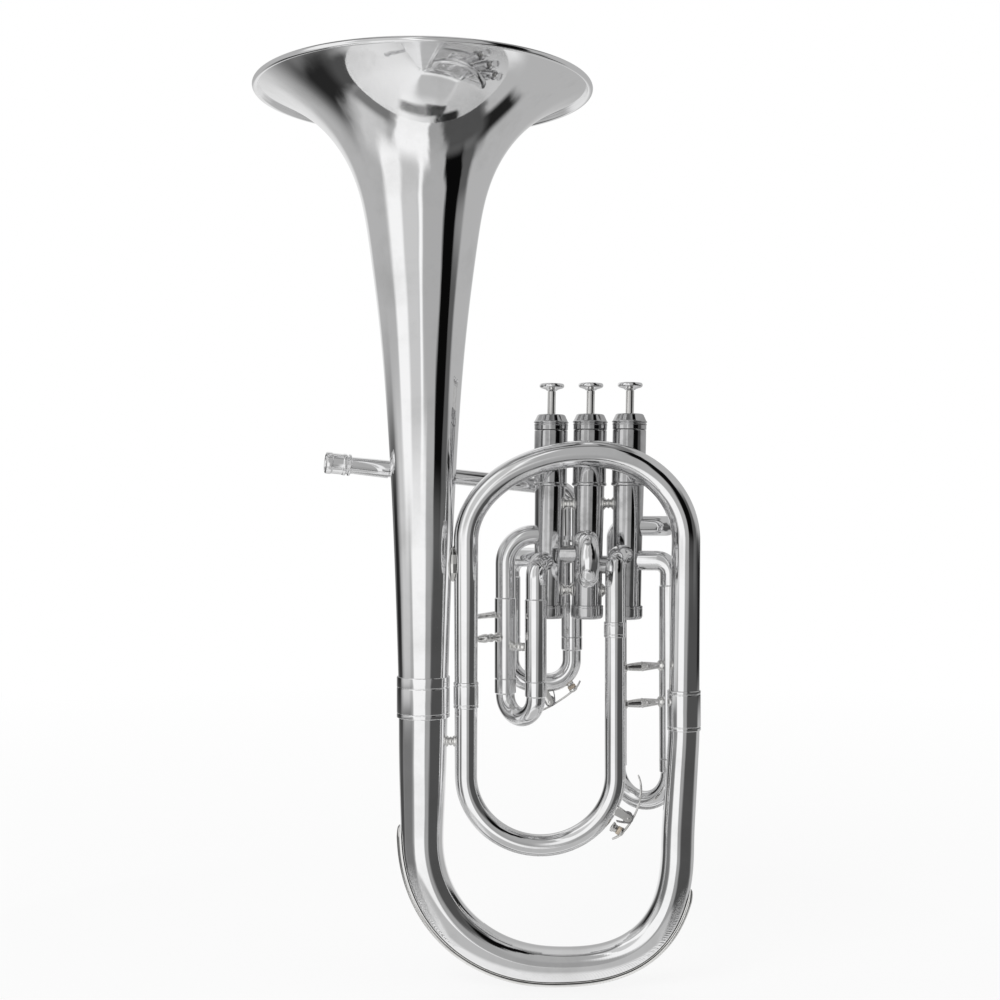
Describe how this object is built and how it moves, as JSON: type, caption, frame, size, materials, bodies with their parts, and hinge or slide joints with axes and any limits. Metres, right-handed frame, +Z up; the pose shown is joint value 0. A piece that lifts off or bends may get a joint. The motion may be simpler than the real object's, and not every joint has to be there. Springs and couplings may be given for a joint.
{
  "type": "alto horn",
  "caption": "Upright silver-plated alto horn with a flared bell, three piston valves, pull-out tuning slides and water keys.",
  "frame": {"origin": "under the middle of the horn's bounding box, at the height of the lowest point of the guard on its bottom bow", "axes": "+Z up, out of the bell; +X from the bell towards the bows, in the plane of the bows; +Y towards the back, where the leadpipe runs"},
  "size_m": [0.268, 0.2032, 0.539],
  "materials": {
    "silver_plate": "mirror-polished silver plate over brass",
    "polished_nickel_silver": "polished nickel silver",
    "lapped_piston_metal": "lapped, with a fine satin",
    "spring_steel": "bright wire",
    "pad_cork": "matte cork"
  },
  "bodies": {
    "horn": {"bell": "silver_plate", "bell_ferrule": "silver_plate", "bottom_bow": "silver_plate", "bottom_bow_ferrule": "silver_plate", "bow_guard": "polished_nickel_silver", "first_slide_left_sleeve": "silver_plate", "first_slide_right_sleeve": "silver_plate", "first_slide_spool": "polished_nickel_silver", "knuckle_1_to_2": "silver_plate", "knuckle_2_to_3": "silver_plate", "leadpipe": "silver_plate", "leadpipe_flange": "polished_nickel_silver", "lower_bell_brace": "polished_nickel_silver", "main_slide_inlet_sleeve": "silver_plate", "main_slide_outlet_sleeve": "silver_plate", "mouthpiece_receiver": "silver_plate", "second_slide_lower_sleeve": "silver_plate", "second_slide_upper_sleeve": "silver_plate", "slide_bead_brace": "polished_nickel_silver", "small_bow": "silver_plate", "small_bow_ferrule": "silver_plate", "third_slide_left_sleeve": "silver_plate", "third_slide_lower_brace": "polished_nickel_silver", "third_slide_right_sleeve": "silver_plate", "third_slide_upper_brace": "polished_nickel_silver", "top_bow": "silver_plate", "top_bow_ferrule": "silver_plate", "tuning_slide_rod": "polished_nickel_silver", "upper_bell_flange": "polished_nickel_silver", "valve_1_bottom_cap": "silver_plate", "valve_1_casing": "silver_plate", "valve_1_spring": "spring_steel", "valve_1_top_cap": "silver_plate", "valve_2_bottom_cap": "silver_plate", "valve_2_casing": "silver_plate", "valve_2_spring": "spring_steel", "valve_2_top_cap": "silver_plate", "valve_3_bottom_cap": "silver_plate", "valve_3_casing": "silver_plate", "valve_3_spring": "spring_steel", "valve_3_top_cap": "silver_plate", "valve_outlet_elbow": "silver_plate"},
    "valve_1": {"valve_1_piston": "lapped_piston_metal", "valve_1_stem": "polished_nickel_silver", "valve_1_finger_button": "silver_plate"},
    "valve_2": {"valve_2_piston": "lapped_piston_metal", "valve_2_stem": "polished_nickel_silver", "valve_2_finger_button": "silver_plate"},
    "valve_3": {"valve_3_piston": "lapped_piston_metal", "valve_3_stem": "polished_nickel_silver", "valve_3_finger_button": "silver_plate"},
    "first_slide": {"first_valve_slide": "silver_plate"},
    "second_slide": {"second_valve_slide": "silver_plate"},
    "third_slide": {"third_valve_slide": "silver_plate"},
    "main_slide": {"main_tuning_slide": "silver_plate"},
    "main_slide_key": {"main_slide_water_key": "polished_nickel_silver", "main_slide_water_key_cork": "pad_cork"},
    "small_bow_key": {"small_bow_water_key": "polished_nickel_silver", "small_bow_water_key_cork": "pad_cork"}
  },
  "joints": [
    {"name": "valve_1_press", "type": "slide", "parent": "horn", "child": "valve_1", "axis": [-0.0175, 0, -0.9998], "range_m": [0, 0.0145], "stiffness_N_per_m": 80, "springref_m": -0.022, "deforming": ["valve_1_spring"]},
    {"name": "valve_2_press", "type": "slide", "parent": "horn", "child": "valve_2", "axis": [-0.0175, 0, -0.9998], "range_m": [0, 0.0145], "stiffness_N_per_m": 80, "springref_m": -0.022, "deforming": ["valve_2_spring"]},
    {"name": "valve_3_press", "type": "slide", "parent": "horn", "child": "valve_3", "axis": [-0.0175, 0, -0.9998], "range_m": [0, 0.0145], "stiffness_N_per_m": 80, "springref_m": -0.022, "deforming": ["valve_3_spring"]},
    {"name": "first_slide_pull", "type": "slide", "parent": "horn", "child": "first_slide", "axis": [0, 0, -1], "range_m": [0, 0.04]},
    {"name": "second_slide_pull", "type": "slide", "parent": "horn", "child": "second_slide", "axis": [0, -1, 0], "range_m": [0, 0.018]},
    {"name": "third_slide_pull", "type": "slide", "parent": "horn", "child": "third_slide", "axis": [0, 0, -1], "range_m": [0, 0.035]},
    {"name": "main_slide_pull", "type": "slide", "parent": "horn", "child": "main_slide", "axis": [0, 0, -1], "range_m": [0, 0.028]},
    {"name": "main_slide_key_hinge", "type": "hinge", "parent": "main_slide", "child": "main_slide_key", "pos_m": [0.0452, 0.049, 0.1654], "axis": [0, 1, 0], "range_deg": [0, 12], "stiffness_Nm_per_rad": 0.05, "springref_deg": -17.19},
    {"name": "small_bow_key_hinge", "type": "hinge", "parent": "horn", "child": "small_bow_key", "pos_m": [0.0902, 0, 0.1018], "axis": [0, -1, 0], "range_deg": [0, 12], "stiffness_Nm_per_rad": 0.05, "springref_deg": -17.19}
  ]
}
